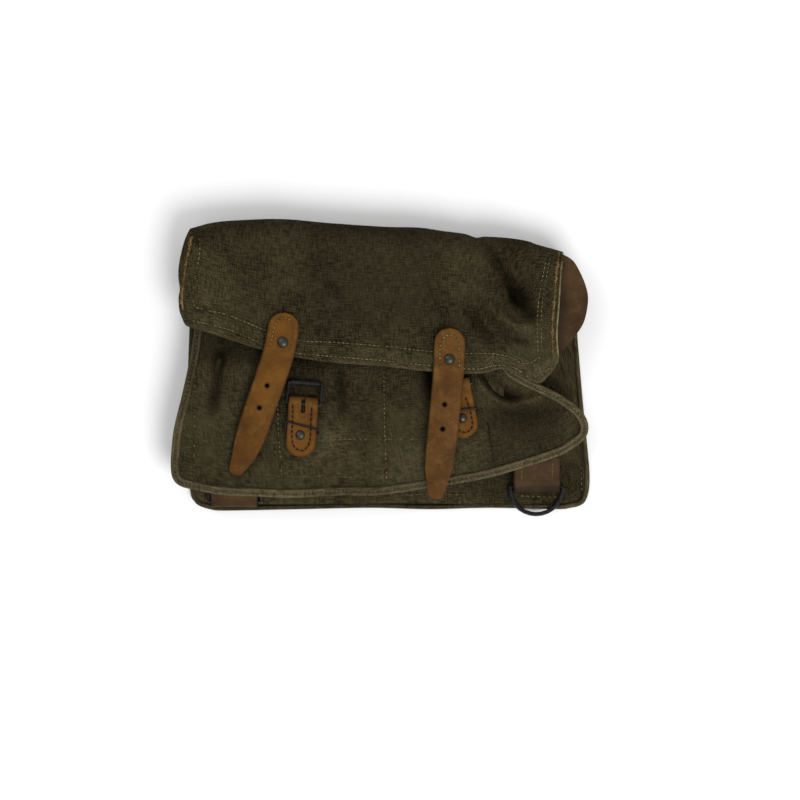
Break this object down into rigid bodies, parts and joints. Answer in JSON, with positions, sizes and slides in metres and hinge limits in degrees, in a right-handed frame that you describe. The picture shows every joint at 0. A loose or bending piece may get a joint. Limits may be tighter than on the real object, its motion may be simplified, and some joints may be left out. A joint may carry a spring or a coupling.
{
  "type": "canvas satchel",
  "caption": "Small canvas satchel lying on its back, with a fold-over flap, leather ears, two leather buckle straps and two D-rings for a shoulder strap.",
  "frame": {"origin": "middle of the footprint, on the face that lies on the table", "axes": "+Z out of the front panel, +Y towards the fold of the flap, +X to the right as seen from the front"},
  "size_m": [0.296, 0.2112, 0.0411],
  "materials": {
    "canvas": "coarse olive canvas, faded",
    "piping": "worn bound edge",
    "strap_leather": "tan harness leather, creased",
    "brown_leather": "weathered brown leather",
    "black_steel": "blackened steel wire",
    "rivet_metal": "oxidised brass"
  },
  "bodies": {
    "root": {"back_panel": "canvas", "front_panel": "canvas", "gusset": "canvas", "inner_pocket": "canvas", "front_binding": "piping", "back_binding": "piping", "chape_left": "strap_leather", "chape_right": "strap_leather", "chape_rivet_left": "rivet_metal", "chape_rivet_right": "rivet_metal", "chape_burr_left": "rivet_metal", "chape_burr_right": "rivet_metal", "ring_tab_left": "brown_leather", "ring_tab_right": "brown_leather"},
    "crown": {"flap_crown": "canvas"},
    "flap": {"flap_panel": "canvas", "flap_end_tape_left": "piping", "flap_end_tape_right": "piping", "strap_root_left": "strap_leather", "strap_root_right": "strap_leather", "strap_rivet_left": "rivet_metal", "strap_rivet_right": "rivet_metal", "strap_burr_left": "rivet_metal", "strap_burr_right": "rivet_metal"},
    "ear_left": {"flap_ear_left": "brown_leather"},
    "ear_right": {"flap_ear_right": "brown_leather"},
    "free_strap_left": {"strap_left": "strap_leather"},
    "free_strap_right": {"strap_right": "strap_leather"},
    "buckle_left": {"buckle_frame_left": "black_steel"},
    "buckle_right": {"buckle_frame_right": "black_steel"},
    "roller_left": {"buckle_roller_left": "black_steel"},
    "roller_right": {"buckle_roller_right": "black_steel"},
    "prong_left": {"buckle_prong_left": "black_steel"},
    "prong_right": {"buckle_prong_right": "black_steel"},
    "wire_keeper_left": {"keeper_left": "black_steel"},
    "wire_keeper_right": {"keeper_right": "black_steel"},
    "ring_left": {"d_ring_left": "black_steel"},
    "ring_right": {"d_ring_right": "black_steel"}
  },
  "joints": [
    {"name": "crown_fold", "type": "hinge", "parent": "root", "child": "crown", "pos_m": [0, 0.0979, 0.001], "axis": [-0.9988, 0.0499, 0], "range_deg": [0, 85]},
    {"name": "flap_fold", "type": "hinge", "parent": "crown", "child": "flap", "pos_m": [0, 0.0979, 0.0352], "axis": [-0.9988, 0.0499, 0], "range_deg": [0, 90]},
    {"name": "ear_fold_left", "type": "hinge", "parent": "flap", "child": "ear_left", "pos_m": [-0.1422, 0.066, 0.0352], "axis": [0, -1, 0], "range_deg": [-150, 0]},
    {"name": "ear_fold_right", "type": "hinge", "parent": "flap", "child": "ear_right", "pos_m": [0.1292, 0.047, 0.0352], "axis": [0, 1, 0], "range_deg": [-85, 20]},
    {"name": "strap_lift_left", "type": "hinge", "parent": "flap", "child": "free_strap_left", "pos_m": [-0.072, 0.011, 0.0393], "axis": [0.949, -0.3152, 0], "range_deg": [-150, 0]},
    {"name": "strap_lift_right", "type": "hinge", "parent": "flap", "child": "free_strap_right", "pos_m": [0.0488, -0.0022, 0.0393], "axis": [0.9945, -0.1043, 0], "range_deg": [-150, 0]},
    {"name": "buckle_swing_left", "type": "hinge", "parent": "root", "child": "buckle_left", "pos_m": [-0.05343, -0.02514, 0.02995], "axis": [0.9963, -0.086, 0], "range_deg": [0, 150]},
    {"name": "buckle_swing_right", "type": "hinge", "parent": "root", "child": "buckle_right", "pos_m": [0.0537, -0.0128, 0.02995], "axis": [0.9822, 0.188, 0], "range_deg": [0, 7]},
    {"name": "roller_spin_left", "type": "hinge", "parent": "buckle_left", "child": "roller_left", "pos_m": [-0.05214, -0.0102, 0.02995], "axis": [0.9963, -0.086, 0], "continuous": true},
    {"name": "roller_spin_right", "type": "hinge", "parent": "buckle_right", "child": "roller_right", "pos_m": [0.05088, 0.00193, 0.02995], "axis": [0.9822, 0.188, 0], "continuous": true},
    {"name": "prong_swing_left", "type": "hinge", "parent": "root", "child": "prong_left", "pos_m": [-0.05343, -0.02514, 0.02995], "axis": [-0.9963, 0.086, 0], "range_deg": [0, 165]},
    {"name": "prong_swing_right", "type": "hinge", "parent": "root", "child": "prong_right", "pos_m": [0.0537, -0.0128, 0.02995], "axis": [-0.9822, -0.188, 0], "range_deg": [0, 18]},
    {"name": "keeper_tilt_left", "type": "hinge", "parent": "root", "child": "wire_keeper_left", "pos_m": [-0.05512, -0.04472, 0.02955], "axis": [0.9963, -0.086, 0], "range_deg": [0, 50]},
    {"name": "keeper_tilt_right", "type": "hinge", "parent": "root", "child": "wire_keeper_right", "pos_m": [0.05739, -0.0321, 0.02955], "axis": [0.9822, 0.188, 0], "range_deg": [0, 50]},
    {"name": "ring_swing_left", "type": "hinge", "parent": "root", "child": "ring_left", "pos_m": [-0.104, -0.09451, 0.00842], "axis": [1, 0, 0], "range_deg": [0, 10]},
    {"name": "ring_swing_right", "type": "hinge", "parent": "root", "child": "ring_right", "pos_m": [0.112, -0.08421, 0.00941], "axis": [-1, 0, 0], "range_deg": [0, 115]}
  ]
}
